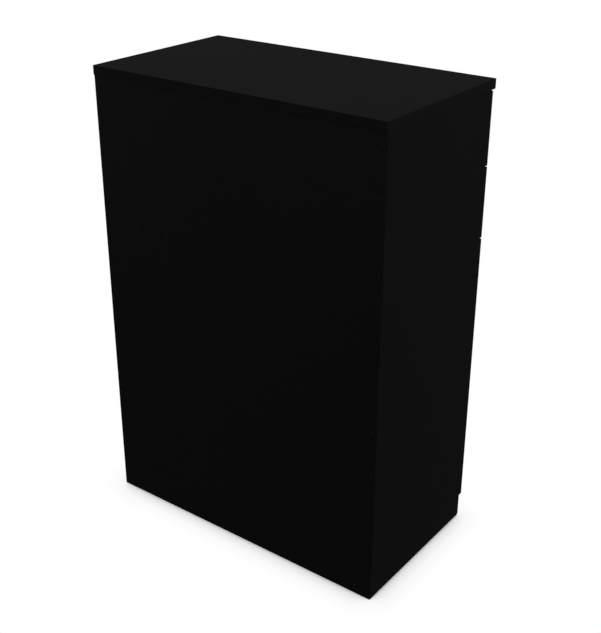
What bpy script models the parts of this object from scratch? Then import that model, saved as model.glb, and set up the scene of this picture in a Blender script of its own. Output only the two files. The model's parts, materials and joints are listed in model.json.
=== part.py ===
"""Free-standing storage cabinet: two full-width drawers above a pair of doors.

Flat-pack construction in matt black board.  The front faces -Y, +X is to the right and Z is up.
The origin is on the floor, at the middle of the outer box.  Lengths are in metres.
"""

from math import cos, pi, sin, sqrt

import bmesh
import bpy
from mathutils import Vector

MM = 0.001

# Outer size
CABINET_WIDTH = 800 * MM
TOP_DEPTH = 440 * MM
CABINET_HEIGHT = 1145 * MM

# Boards
TOP_THICKNESS = 23 * MM
BOARD_THICKNESS = 15 * MM
FRONT_THICKNESS = 12 * MM
BACK_THICKNESS = 3 * MM
DRAWER_SIDE_THICKNESS = 12 * MM
HARDBOARD_THICKNESS = 3 * MM
EDGE_RADIUS = 0.8 * MM
THIN_EDGE_RADIUS = 0.5 * MM
FITTING_GAP = 0.3 * MM

# How the top and the fronts lie over the carcass
TOP_SIDE_OVERHANG = 1 * MM
TOP_FRONT_OVERHANG = 6.5 * MM
FRONT_SIDE_INSET = 1 * MM
BUMPER_GAP = 1.4 * MM
REVEAL = 3 * MM
DRAWER_PITCH = 174 * MM
FRONTS_BOTTOM = 58 * MM
BACK_SIDE_INSET = 0.5 * MM

# Base
GLIDE_HEIGHT = 2 * MM
GLIDE_RADIUS = 6.5 * MM
GLIDE_FACE_RADIUS = 5.3 * MM
GLIDE_RIM_HEIGHT = 0.8 * MM
GLIDE_SETBACK = 25 * MM
BOTTOM_PANEL_UNDERSIDE = 60 * MM
PLINTH_RECESS = 20 * MM
PLINTH_UNDERSIDE = 3 * MM
BACK_UNDERSIDE = 0.5 * MM

# Shelf and its pins
SHELF_UNDERSIDE = 420 * MM
SHELF_SIDE_PLAY = 1.5 * MM
SHELF_FRONT_SETBACK = 20 * MM
SHELF_REAR_PLAY = 3 * MM
PIN_HOLE_RADIUS = 2.5 * MM
PIN_HOLE_DEPTH = 10 * MM
PIN_HOLE_PITCH = 32 * MM
PIN_HOLE_ROWS = 5
PIN_HOLE_SETBACK = 50 * MM
PIN_SHANK_LENGTH = 9 * MM
PIN_HEAD_RADIUS = 4 * MM
PIN_HEAD_LENGTH = 9.3 * MM
PIN_CHAMFER = 0.7 * MM

# Drawer boxes and slides
DRAWER_BOX_WIDTH = 742 * MM
DRAWER_BOX_DEPTH = 390 * MM
DRAWER_BOX_HEIGHT = 125 * MM
DRAWER_BOX_LIFT = 20 * MM
DRAWER_BOTTOM_LIFT = 10 * MM
GROOVE_DEPTH = 5 * MM
BASE_EDGE_PLAY = 0.5 * MM
SLIDE_LENGTH = 400 * MM
SLIDE_WALL = 1.2 * MM
SLIDE_LIFT = 36 * MM
SLIDE_FRONT_SETBACK = 3 * MM

# Slide members: places of the web and of the flanges' edges, measured inward from the side panel,
# then half the height and how much shorter the member is than the first one
SLIDE_MEMBERS = {
    "cabinet_slide": (0.3 * MM, 9.5 * MM, 17.5 * MM, 0),
    "middle_slide": (2.2 * MM, 11.0 * MM, 15.0 * MM, 4 * MM),
    "drawer_slide": (12.7 * MM, 4.6 * MM, 12.4 * MM, 8 * MM),
}

# Handles
HANDLE_REACH = 28 * MM
HANDLE_BAR = 8 * MM
HANDLE_WIDTH = 12 * MM
HANDLE_LENGTH = 168 * MM
HANDLE_CORNER = 9 * MM
HANDLE_EDGE_RADIUS = 1.2 * MM
DOOR_HANDLE_INSET = 36 * MM
DOOR_HANDLE_DROP = 130 * MM

# Concealed hinges.  Places are (inward from the side panel's outer face, forward of its front edge).
HINGE_END_DISTANCE = 90 * MM
ARM_PIVOT = (24.0 * MM, 3.6 * MM)
CUP_PIVOT = (9.1 * MM, 4.1 * MM)
LINK_BEND = (14.0 * MM, 10.8 * MM)
LINK_HALF_WIDTH = 1.0 * MM
LINK_HALF_HEIGHT = 3.4 * MM
LINK_EYE_HALF_HEIGHT = 3.6 * MM
LINK_EYE_RADIUS = 1.9 * MM
RIVET_RADIUS = 1.0 * MM
RIVET_HOLE_RADIUS = 1.3 * MM
RIVET_END_INSET = 0.4 * MM
CUP_CENTRE_INWARD = 17.7 * MM
CUP_RADIUS = 13 * MM
CUP_WALL = 1 * MM
CUP_DEPTH = 10 * MM
CUP_FLANGE_RADIUS = 14.5 * MM
CUP_FLANGE_THICKNESS = 0.5 * MM
CUP_EDGE_RADIUS = 0.8 * MM
CUP_WING_REACH = 19 * MM
CUP_WING_RADIUS = 5 * MM
HINGE_REAR = -62 * MM
ARM_CHEEK_INNER = 3.9 * MM
ARM_CHEEK_OUTER = 5.1 * MM
ARM_BASE_INWARD = 17.4 * MM
ARM_WEB_INWARD = 24.2 * MM
ARM_WALL = 1.2 * MM
ARM_WEB_FRONT = -14 * MM
ARM_NOSE_RADIUS = 2.3 * MM
PLATE_FRONT = -20 * MM
PLATE_WINGS = (-47 * MM, -35 * MM)
PLATE_HALF_HEIGHT = 7 * MM
PLATE_WING_REACH = 17 * MM
PLATE_THICKNESS = 1.2 * MM
RAIL_ENDS = (-60 * MM, -24 * MM)
RAIL_HALF_HEIGHT = 3.4 * MM
RAIL_RISE = 4.5 * MM

# Places that follow from the sizes above
HALF_WIDTH = CABINET_WIDTH / 2
CARCASS_HALF_WIDTH = HALF_WIDTH - TOP_SIDE_OVERHANG
INNER_HALF_WIDTH = CARCASS_HALF_WIDTH - BOARD_THICKNESS
FRONTS_HALF_WIDTH = CARCASS_HALF_WIDTH - FRONT_SIDE_INSET
TOP_BACK_Y = (TOP_DEPTH + HANDLE_REACH - TOP_FRONT_OVERHANG) / 2
TOP_FRONT_Y = TOP_BACK_Y - TOP_DEPTH
FACE_Y = TOP_FRONT_Y + TOP_FRONT_OVERHANG
FRONT_REAR_Y = FACE_Y + FRONT_THICKNESS
CARCASS_FRONT_Y = FRONT_REAR_Y + BUMPER_GAP
BACK_FACE_Y = TOP_BACK_Y - TOP_SIDE_OVERHANG
CARCASS_REAR_Y = BACK_FACE_Y - BACK_THICKNESS - FITTING_GAP
TOP_UNDERSIDE = CABINET_HEIGHT - TOP_THICKNESS
FRONTS_TOP = TOP_UNDERSIDE - REVEAL
LOWER_REVEAL_CENTRE = FRONTS_TOP + REVEAL / 2 - 2 * DRAWER_PITCH
MIDDLE_PANEL_UNDERSIDE = LOWER_REVEAL_CENTRE - BOARD_THICKNESS / 2
DOOR_TOP = LOWER_REVEAL_CENTRE - REVEAL / 2
SHELF_PIN_Z = SHELF_UNDERSIDE - FITTING_GAP - PIN_HEAD_RADIUS
SIDES = {"left": -1, "right": 1}


# ---------------------------------------------------------------- helpers

def clear_scene():
    for item in list(bpy.data.objects):
        bpy.data.objects.remove(item, do_unlink=True)


def make_material(name, colour, roughness, metallic=0.0):
    material = bpy.data.materials.new(name)
    material.use_nodes = True
    shader = material.node_tree.nodes["Principled BSDF"]
    shader.inputs["Base Color"].default_value = (*colour, 1.0)
    shader.inputs["Roughness"].default_value = roughness
    shader.inputs["Metallic"].default_value = metallic
    material.diffuse_color = (*colour, 1.0)
    return material


def make_materials():
    return {
        "laminate": make_material("black_laminate", (0.012, 0.012, 0.013), 0.55),
        "hardboard": make_material("black_hardboard", (0.011, 0.011, 0.011), 0.62),
        "drawer_board": make_material("drawer_board", (0.035, 0.035, 0.037), 0.6),
        "drawer_base": make_material("drawer_base", (0.045, 0.045, 0.047), 0.65),
        "handle": make_material("handle_black", (0.015, 0.015, 0.016), 0.42, 0.2),
        "zinc": make_material("zinc_plate", (0.62, 0.63, 0.65), 0.34, 1.0),
        "nickel": make_material("nickel_plate", (0.70, 0.69, 0.66), 0.24, 1.0),
        "plastic": make_material("black_plastic", (0.02, 0.02, 0.02), 0.5),
    }


def add_object(name, mesh, material, location=(0, 0, 0), parent=None):
    """Put a mesh in the scene; the location is in world space, whatever the parent."""
    item = bpy.data.objects.new(name, mesh)
    bpy.context.collection.objects.link(item)
    offset = parent.location if parent else Vector((0, 0, 0))
    item.parent = parent
    item.location = Vector(location) - offset
    if material:
        item.data.materials.append(material)
    return item


def add_pivot(name, location):
    pivot = bpy.data.objects.new(name, None)
    bpy.context.collection.objects.link(pivot)
    pivot.location = location
    pivot.empty_display_size = 0.03
    return pivot


def mesh_from(bm, name, smooth_angle=None):
    bmesh.ops.recalc_face_normals(bm, faces=bm.faces)
    mesh = bpy.data.meshes.new(name)
    bm.to_mesh(mesh)
    bm.free()
    if smooth_angle:
        mesh.shade_smooth()
        mesh.set_sharp_from_angle(angle=smooth_angle)
    return mesh


def box_mesh(name, size):
    bm = bmesh.new()
    bmesh.ops.create_cube(bm, size=1.0)
    bmesh.ops.scale(bm, vec=size, verts=bm.verts)
    return mesh_from(bm, name)


def middle(low, high):
    return (Vector(low) + Vector(high)) / 2


def add_bevel(item, width=EDGE_RADIUS, segments=1):
    bevel = item.modifiers.new("edges", "BEVEL")
    bevel.width = width
    bevel.segments = segments
    bevel.limit_method = "ANGLE"
    bevel.use_clamp_overlap = False


def add_board(name, low, high, material, parent=None, bevel=EDGE_RADIUS):
    """A flat rectangular board between two corners, with its long edges eased."""
    size = Vector(high) - Vector(low)
    board = add_object(name, box_mesh(name, size), material, middle(low, high), parent)
    if bevel:
        add_bevel(board, bevel)
    return board


def prism_mesh(name, outline, low, high, to_world, smooth_angle=None):
    """Extrude a flat outline from low to high; to_world(a, b, c) gives each corner's place."""
    bm = bmesh.new()
    corners = [bm.verts.new(to_world(a, b, low)) for a, b in outline]
    face = bm.faces.new(corners)
    result = bmesh.ops.extrude_face_region(bm, geom=[face])
    raised = [part for part in result["geom"] if isinstance(part, bmesh.types.BMVert)]
    shift = Vector(to_world(0, 0, high)) - Vector(to_world(0, 0, low))
    bmesh.ops.translate(bm, vec=shift, verts=raised)
    return mesh_from(bm, name, smooth_angle)


def turned_mesh(name, profile, segments, axis_map, smooth_angle=pi / 5):
    """Turn a profile of (radius, height) points about the height axis; it starts and ends at radius 0."""
    bm = bmesh.new()
    rings = []
    for radius, height in profile:
        if radius == 0:
            rings.append([bm.verts.new(axis_map(0, 0, height))])
            continue
        ring = []
        for step in range(segments):
            angle = 2 * pi * step / segments
            ring.append(bm.verts.new(axis_map(radius * cos(angle), radius * sin(angle), height)))
        rings.append(ring)
    for first, second in zip(rings, rings[1:]):
        for step in range(segments):
            after = (step + 1) % segments
            corners = [first[step % len(first)], first[after % len(first)]]
            corners += [second[after % len(second)], second[step % len(second)]]
            bm.faces.new(list(dict.fromkeys(corners)))
    return mesh_from(bm, name, smooth_angle)


def rod_mesh(name, radius, low, high, segments, axis_map):
    return turned_mesh(name, [(0, low), (radius, low), (radius, high), (0, high)], segments, axis_map)


def add_hidden(name, mesh, location=(0, 0, 0), parent=None):
    """A shape that only cuts or adds to its neighbour."""
    hidden = add_object(name, mesh, None, location, parent)
    hidden.hide_render = True
    hidden.display_type = "WIRE"
    return hidden


def joined_mesh(name, meshes):
    """Several separate closed shapes in one mesh, for cutting many holes at once."""
    bm = bmesh.new()
    for mesh in meshes:
        bm.from_mesh(mesh)
        bpy.data.meshes.remove(mesh)
    return mesh_from(bm, name)


def combine(item, other, operation):
    boolean = item.modifiers.new(operation.lower(), "BOOLEAN")
    boolean.operation = operation
    boolean.solver = "EXACT"
    boolean.object = other


def along_x(x_place, y_place, z_place, direction=1):
    """Axis map for a turned shape whose height runs along X."""
    return lambda a, b, height: (x_place + direction * height, y_place + a, z_place + b)


def along_y(x_place, y_place, z_place):
    return lambda a, b, height: (x_place + a, y_place - height, z_place + b)


def along_z(x_place, y_place, z_place):
    return lambda a, b, height: (x_place + a, y_place + b, z_place + height)


# ---------------------------------------------------------------- carcass

def shelf_pin_ys():
    return (CARCASS_FRONT_Y + PIN_HOLE_SETBACK, CARCASS_REAR_Y - PIN_HOLE_SETBACK)


def add_side_panel(side_name, side, materials):
    """Side panel down to the glides, with two columns of blind holes for the shelf pins."""
    inner = side * INNER_HALF_WIDTH
    outer = side * CARCASS_HALF_WIDTH
    low = (min(inner, outer), CARCASS_FRONT_Y, GLIDE_HEIGHT + FITTING_GAP)
    high = (max(inner, outer), CARCASS_REAR_Y, TOP_UNDERSIDE - FITTING_GAP)
    panel = add_board(side_name + "_side_panel", low, high, materials["laminate"])
    holes = []
    for y_place in shelf_pin_ys():
        for row in range(PIN_HOLE_ROWS):
            z_place = SHELF_PIN_Z + (row - PIN_HOLE_ROWS // 2) * PIN_HOLE_PITCH
            axis_map = along_x(inner, y_place, z_place, side)
            holes.append(rod_mesh("hole", PIN_HOLE_RADIUS, -2 * MM, PIN_HOLE_DEPTH, 12, axis_map))
    combine(panel, add_hidden(side_name + "_pin_holes", joined_mesh("pin_holes", holes)), "DIFFERENCE")


def add_carcass(materials):
    laminate = materials["laminate"]
    add_board("top_panel", (-HALF_WIDTH, TOP_FRONT_Y, TOP_UNDERSIDE),
              (HALF_WIDTH, TOP_BACK_Y, CABINET_HEIGHT), laminate)
    for side_name, side in SIDES.items():
        add_side_panel(side_name, side, materials)
    inside = INNER_HALF_WIDTH - FITTING_GAP
    undersides = {"bottom_panel": BOTTOM_PANEL_UNDERSIDE, "middle_panel": MIDDLE_PANEL_UNDERSIDE}
    for name, underside in undersides.items():
        add_board(name, (-inside, CARCASS_FRONT_Y, underside),
                  (inside, CARCASS_REAR_Y, underside + BOARD_THICKNESS), laminate)
    plinth_y = CARCASS_FRONT_Y + PLINTH_RECESS
    add_board("plinth_board", (-inside, plinth_y, PLINTH_UNDERSIDE),
              (inside, plinth_y + BOARD_THICKNESS, BOTTOM_PANEL_UNDERSIDE - FITTING_GAP), laminate)
    edge = CARCASS_HALF_WIDTH - BACK_SIDE_INSET
    add_board("back_panel", (-edge, BACK_FACE_Y - BACK_THICKNESS, BACK_UNDERSIDE),
              (edge, BACK_FACE_Y, TOP_UNDERSIDE - FITTING_GAP), materials["hardboard"],
              bevel=THIN_EDGE_RADIUS)


def add_glides(materials):
    """A round nylon glide under each end of both side panels."""
    profile = [(0, 0), (GLIDE_FACE_RADIUS, 0), (GLIDE_RADIUS, GLIDE_RIM_HEIGHT)]
    profile += [(GLIDE_RADIUS, GLIDE_HEIGHT), (0, GLIDE_HEIGHT)]
    middle_x = (CARCASS_HALF_WIDTH + INNER_HALF_WIDTH) / 2
    ends = {"front": CARCASS_FRONT_Y + GLIDE_SETBACK, "rear": CARCASS_REAR_Y - GLIDE_SETBACK}
    for side_name, side in SIDES.items():
        for end_name, y_place in ends.items():
            name = f"{side_name}_{end_name}_glide"
            mesh = turned_mesh(name, profile, 20, along_z(0, 0, 0))
            add_object(name, mesh, materials["plastic"], (side * middle_x, y_place, 0))


def add_shelf(materials):
    half = INNER_HALF_WIDTH - SHELF_SIDE_PLAY
    add_board("adjustable_shelf", (-half, CARCASS_FRONT_Y + SHELF_FRONT_SETBACK, SHELF_UNDERSIDE),
              (half, CARCASS_REAR_Y - SHELF_REAR_PLAY, SHELF_UNDERSIDE + BOARD_THICKNESS),
              materials["laminate"])
    shank = PIN_HOLE_RADIUS - FITTING_GAP
    head = PIN_HEAD_RADIUS
    tip = -PIN_SHANK_LENGTH
    end = PIN_HEAD_LENGTH
    profile = [(0, tip), (shank - PIN_CHAMFER, tip), (shank, tip + PIN_CHAMFER), (shank, FITTING_GAP)]
    profile += [(head, FITTING_GAP), (head, end - PIN_CHAMFER), (head - PIN_CHAMFER, end), (0, end)]
    for side_name, side in SIDES.items():
        for end_name, y_place in zip(("front", "rear"), shelf_pin_ys()):
            name = f"{side_name}_{end_name}_shelf_pin"
            mesh = turned_mesh(name, profile, 16, along_x(0, 0, 0, -side))
            place = (side * INNER_HALF_WIDTH, y_place, SHELF_PIN_Z)
            add_object(name, mesh, materials["nickel"], place)


# ---------------------------------------------------------------- handles

def rounded_bridge_outline():
    """Bridge handle seen from its edge: (along the handle, out from the front), corners rounded outside."""
    half = HANDLE_LENGTH / 2
    foot = FITTING_GAP
    points = [(-half, foot)]
    steps = 6
    for direction in (-1, 1):
        centre = (direction * (half - HANDLE_CORNER), HANDLE_REACH - HANDLE_CORNER)
        for step in range(steps + 1):
            turn = pi / 2 * step / steps
            angle = pi - turn if direction < 0 else pi / 2 - turn
            points.append((centre[0] + HANDLE_CORNER * cos(angle), centre[1] + HANDLE_CORNER * sin(angle)))
    inner = half - HANDLE_BAR
    level = HANDLE_REACH - HANDLE_BAR
    points += [(half, foot), (inner, foot), (inner, level), (-inner, level), (-inner, foot)]
    return points


def add_handle(name, x_place, z_place, upright, parent, materials):
    """A bridge handle on the front's face, level or upright."""
    half = HANDLE_WIDTH / 2

    def lay(along, out, across):
        return (across, -out, along) if upright else (along, -out, across)

    mesh = prism_mesh(name, rounded_bridge_outline(), -half, half, lay, pi / 6)
    handle = add_object(name, mesh, materials["handle"], (x_place, FACE_Y, z_place), parent)
    add_bevel(handle, HANDLE_EDGE_RADIUS, 2)


# ---------------------------------------------------------------- drawers

def slide_section(web, edge, half_height):
    """C section of one slide member: (distance from the side panel, height)."""
    inner_web = web + SLIDE_WALL if edge > web else web - SLIDE_WALL
    inner_height = half_height - SLIDE_WALL
    return [(web, -half_height), (edge, -half_height), (edge, -inner_height), (inner_web, -inner_height),
            (inner_web, inner_height), (edge, inner_height), (edge, half_height), (web, half_height)]


def add_slide_member(name, section, side, z_place, length, parent, materials):
    front = CARCASS_FRONT_Y + SLIDE_FRONT_SETBACK

    def lay(inward, height, along):
        return (-side * inward, along, height)

    mesh = prism_mesh(name, section, 0, length, lay)
    add_object(name, mesh, materials["zinc"], (side * INNER_HALF_WIDTH, front, z_place), parent)


def add_drawer_slides(drawer_name, z_place, drawer, middles, materials):
    """Three-part telescopic slide on each side: cabinet, middle and drawer member."""
    parents = {"cabinet_slide": None, "middle_slide": middles, "drawer_slide": drawer}
    for side_name, side in SIDES.items():
        for member_name, (web, edge, half_height, shorter) in SLIDE_MEMBERS.items():
            name = f"{drawer_name}_{side_name}_{member_name}"
            section = slide_section(web, edge, half_height)
            length = SLIDE_LENGTH - shorter
            add_slide_member(name, section, side, z_place, length, parents[member_name], materials)


def drawer_side_section():
    """Grooved drawer side seen from the front: (distance inward from its outer face, height)."""
    groove_low = DRAWER_BOTTOM_LIFT - FITTING_GAP
    groove_high = DRAWER_BOTTOM_LIFT + HARDBOARD_THICKNESS + FITTING_GAP
    inner = DRAWER_SIDE_THICKNESS
    groove = inner - GROOVE_DEPTH
    top = DRAWER_BOX_HEIGHT
    return [(0, 0), (inner, 0), (inner, groove_low), (groove, groove_low),
            (groove, groove_high), (inner, groove_high), (inner, top), (0, top)]


def add_drawer_front(name, low, high, base_z, drawer, materials):
    front = add_board(name, low, high, materials["laminate"], drawer)
    half = DRAWER_BOX_WIDTH / 2 - DRAWER_SIDE_THICKNESS + GROOVE_DEPTH
    size = (2 * half, 2 * GROOVE_DEPTH, HARDBOARD_THICKNESS + 2 * FITTING_GAP)
    place = (0, FRONT_REAR_Y, base_z + HARDBOARD_THICKNESS / 2)
    groove = add_hidden(name + "_groove", box_mesh(name + "_groove", size), place, drawer)
    combine(front, groove, "DIFFERENCE")


def add_drawer(drawer_name, front_bottom, materials):
    """A drawer: laminated front, two grooved sides, a back on top of the base, and a hardboard base."""
    front_top = front_bottom + DRAWER_PITCH - REVEAL
    drawer = add_pivot(drawer_name, (0, FACE_Y, front_bottom))
    middles = add_pivot(drawer_name + "_middle_slides", (0, CARCASS_FRONT_Y, front_bottom))
    bottom = front_bottom + DRAWER_BOX_LIFT
    base_z = bottom + DRAWER_BOTTOM_LIFT
    add_drawer_front(drawer_name + "_front", (-FRONTS_HALF_WIDTH, FACE_Y, front_bottom),
                     (FRONTS_HALF_WIDTH, FRONT_REAR_Y, front_top), base_z, drawer, materials)
    box_front = FRONT_REAR_Y + FITTING_GAP
    box_half = DRAWER_BOX_WIDTH / 2
    inner_half = box_half - DRAWER_SIDE_THICKNESS
    for side_name, side in SIDES.items():
        name = f"{drawer_name}_{side_name}_side"

        def lay(inward, height, along, side=side):
            return (-side * inward, along, height)

        mesh = prism_mesh(name, drawer_side_section(), 0, DRAWER_BOX_DEPTH, lay)
        place = (side * box_half, box_front, bottom)
        board = add_object(name, mesh, materials["drawer_board"], place, drawer)
        add_bevel(board, THIN_EDGE_RADIUS)
    rear = box_front + DRAWER_BOX_DEPTH
    add_board(drawer_name + "_back", (-inner_half + FITTING_GAP, rear - DRAWER_SIDE_THICKNESS,
              base_z + HARDBOARD_THICKNESS + FITTING_GAP),
              (inner_half - FITTING_GAP, rear, bottom + DRAWER_BOX_HEIGHT), materials["drawer_board"],
              drawer, THIN_EDGE_RADIUS)
    base_half = inner_half + GROOVE_DEPTH - BASE_EDGE_PLAY
    add_board(drawer_name + "_base", (-base_half, FRONT_REAR_Y - GROOVE_DEPTH + BASE_EDGE_PLAY, base_z),
              (base_half, rear, base_z + HARDBOARD_THICKNESS), materials["drawer_base"], drawer, 0)
    add_drawer_slides(drawer_name, bottom + SLIDE_LIFT, drawer, middles, materials)
    add_handle(drawer_name + "_handle", 0, (front_bottom + front_top) / 2, False, drawer, materials)


# ---------------------------------------------------------------- doors and hinges

def hinge_place(side, inward, forward):
    """World X and Y of a hinge point, given from the side panel's outer face and front edge."""
    return (side * (CARCASS_HALF_WIDTH - inward), CARCASS_FRONT_Y - forward)


def hinge_heights():
    return {"lower": FRONTS_BOTTOM + HINGE_END_DISTANCE, "upper": DOOR_TOP - HINGE_END_DISTANCE}


def hinge_lay(side, origin):
    """Map from (inward, forward, height) to places around a hinge piece's own origin."""
    x_origin, y_origin = hinge_place(side, *origin)

    def lay(inward, forward, height):
        x_place, y_place = hinge_place(side, inward, forward)
        return (x_place - x_origin, y_place - y_origin, height)

    return lay


def hinge_rod(name, radius, centre, half_length, side, origin):
    """A rod along Z through a hinge point, placed around the piece's own origin."""
    x_place, y_place, _ = hinge_lay(side, origin)(*centre, 0)
    return rod_mesh(name, radius, -half_length, half_length, 16, along_z(x_place, y_place, 0))


def add_hinge_plate(name, side, z_place, materials):
    """Mounting plate screwed to the side panel: a strip with a cross wing and a raised rail."""
    origin = (BOARD_THICKNESS, sum(PLATE_WINGS) / 2)
    lay = hinge_lay(side, origin)
    face = BOARD_THICKNESS + FITTING_GAP
    wing_rear, wing_front = PLATE_WINGS
    half = PLATE_HALF_HEIGHT
    outline = [(HINGE_REAR, half), (wing_rear, half), (wing_rear, PLATE_WING_REACH)]
    outline += [(wing_front, PLATE_WING_REACH), (wing_front, half), (PLATE_FRONT, half)]
    outline += [(forward, -height) for forward, height in reversed(outline)]

    def lay_flat(forward, height, inward):
        return lay(inward, forward, height)

    mesh = prism_mesh(name, outline, face, face + PLATE_THICKNESS, lay_flat)
    rail_rear, rail_front = RAIL_ENDS
    rail_half = RAIL_HALF_HEIGHT
    rail_outline = [(rail_rear, -rail_half), (rail_front, -rail_half)]
    rail_outline += [(rail_front, rail_half), (rail_rear, rail_half)]
    rail = prism_mesh(name + "_rail", rail_outline, face + PLATE_THICKNESS / 2, face + RAIL_RISE, lay_flat)
    place = (*hinge_place(side, *origin), z_place)
    plate = add_object(name, mesh, materials["nickel"], place)
    combine(plate, add_hidden(name + "_rail", rail, place), "UNION")


def arm_outline():
    """The hinge arm seen along its rivets: a long strip whose nose is round about the arm pivot."""
    inward, forward = ARM_PIVOT
    nose = ARM_NOSE_RADIUS
    steps = 8
    points = [(ARM_BASE_INWARD, HINGE_REAR), (ARM_BASE_INWARD, ARM_WEB_FRONT)]
    points.append((inward - nose, forward - 1.3 * nose))
    for step in range(steps + 1):
        angle = pi - pi * step / steps
        points.append((inward + nose * cos(angle), forward + nose * sin(angle)))
    points += [(inward + nose, ARM_WEB_FRONT + 2 * nose), (ARM_WEB_INWARD, ARM_WEB_FRONT - nose)]
    points.append((ARM_WEB_INWARD, HINGE_REAR))
    return points


def add_hinge_arm(name, side, z_place, materials):
    """Pressed steel arm: two cheeks joined by a web, with the link's rivet through the nose."""
    origin = ARM_PIVOT
    lay = hinge_lay(side, origin)
    mesh = prism_mesh(name, arm_outline(), -ARM_CHEEK_OUTER, ARM_CHEEK_OUTER, lay, pi / 6)
    web = ARM_WEB_INWARD - ARM_WALL
    beyond = 10 * MM
    below = ARM_BASE_INWARD - beyond
    behind = HINGE_REAR - beyond
    hollow = [(below, behind), (web, behind), (web, ARM_WEB_FRONT)]
    hollow += [(web + beyond, ARM_WEB_FRONT), (web + beyond, beyond), (below, beyond)]
    hollow_mesh = prism_mesh(name + "_hollow", hollow, -ARM_CHEEK_INNER, ARM_CHEEK_INNER, lay)
    place = (*hinge_place(side, *origin), z_place)
    arm = add_object(name, mesh, materials["nickel"], place)
    combine(arm, add_hidden(name + "_hollow", hollow_mesh, place), "DIFFERENCE")
    half_length = ARM_CHEEK_OUTER - RIVET_END_INSET
    rivet = hinge_rod(name + "_rivet", RIVET_RADIUS, ARM_PIVOT, half_length, side, origin)
    combine(arm, add_hidden(name + "_rivet", rivet, place), "UNION")


def link_outline():
    """A strip of even width along a smooth bend from the cup pivot to the arm pivot."""
    start = Vector(CUP_PIVOT)
    bend = Vector(LINK_BEND)
    end = Vector(ARM_PIVOT)
    steps = 8
    outer = []
    inner = []
    for step in range(steps + 1):
        t = step / steps
        centre = (1 - t) ** 2 * start + 2 * t * (1 - t) * bend + t * t * end
        along = ((1 - t) * (bend - start) + t * (end - bend)).normalized()
        across = Vector((-along.y, along.x)) * LINK_HALF_WIDTH
        outer.append(tuple(centre + across))
        inner.append(tuple(centre - across))
    return outer + inner[::-1]


def add_hinge_link(name, side, z_place, links, materials):
    """Curved link with a rolled eye around each rivet; it turns about the arm's rivet."""
    origin = ARM_PIVOT
    lay = hinge_lay(side, origin)
    half = LINK_HALF_HEIGHT
    place = (*hinge_place(side, *origin), z_place)
    mesh = prism_mesh(name, link_outline(), -half, half, lay, pi / 6)
    link = add_object(name, mesh, materials["nickel"], place, links)
    eyes = []
    holes = []
    for centre in (ARM_PIVOT, CUP_PIVOT):
        eyes.append(hinge_rod("eye", LINK_EYE_RADIUS, centre, LINK_EYE_HALF_HEIGHT, side, origin))
        holes.append(hinge_rod("hole", RIVET_HOLE_RADIUS, centre, half + 2 * MM, side, origin))
    for ending, shapes, operation in (("_eyes", eyes, "UNION"), ("_holes", holes, "DIFFERENCE")):
        mesh = joined_mesh(name + ending, shapes)
        combine(link, add_hidden(name + ending, mesh, place, links), operation)


def wing_outline():
    """Screw wings of the cup, seen from the front: (sideways, height) with round ends."""
    steps = 8
    points = []
    for end, start in ((1, 0), (-1, pi)):
        for step in range(steps + 1):
            angle = start + pi * step / steps
            height = end * CUP_WING_REACH + CUP_WING_RADIUS * sin(angle)
            points.append((CUP_WING_RADIUS * cos(angle), height))
    return points


def add_hinge_cup(name, side, z_place, door, materials):
    """Pressed cup let into the door, with a thin flange, two screw wings and the link's rivet."""
    front = BUMPER_GAP - FITTING_GAP
    origin = (CUP_CENTRE_INWARD, front)
    x_place, y_place = hinge_place(side, *origin)
    place = (x_place, y_place, z_place)
    inner = CUP_RADIUS - CUP_WALL
    depth = CUP_DEPTH + FITTING_GAP
    floor = depth - CUP_WALL
    lip = -CUP_FLANGE_THICKNESS
    profile = [(0, depth), (CUP_RADIUS - CUP_EDGE_RADIUS, depth), (CUP_RADIUS, depth - CUP_EDGE_RADIUS)]
    profile += [(CUP_RADIUS, 0), (CUP_FLANGE_RADIUS, 0), (CUP_FLANGE_RADIUS, lip), (inner, lip)]
    profile += [(inner, floor), (0, floor)]
    mesh = turned_mesh(name, profile, 28, along_y(0, 0, 0))
    cup = add_object(name, mesh, materials["nickel"], place, door)

    def lay_flat(sideways, height, forward):
        return (sideways, -forward, height)

    wings = prism_mesh(name + "_wings", wing_outline(), lip, 0, lay_flat)
    core = rod_mesh(name + "_core", inner + 0.5 * MM, -4 * MM, 4 * MM, 28, along_y(0, 0, 0))
    wings_shape = add_hidden(name + "_wings", wings, place, door)
    core_shape = add_hidden(name + "_core", core, place, door)
    combine(wings_shape, core_shape, "DIFFERENCE")
    combine(cup, wings_shape, "UNION")
    offset = CUP_CENTRE_INWARD - CUP_PIVOT[0]
    half_length = (sqrt(inner ** 2 - offset ** 2) + sqrt(CUP_RADIUS ** 2 - offset ** 2)) / 2
    rivet = hinge_rod(name + "_rivet", RIVET_RADIUS, CUP_PIVOT, half_length, side, origin)
    combine(cup, add_hidden(name + "_rivet", rivet, place, door), "UNION")


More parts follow.
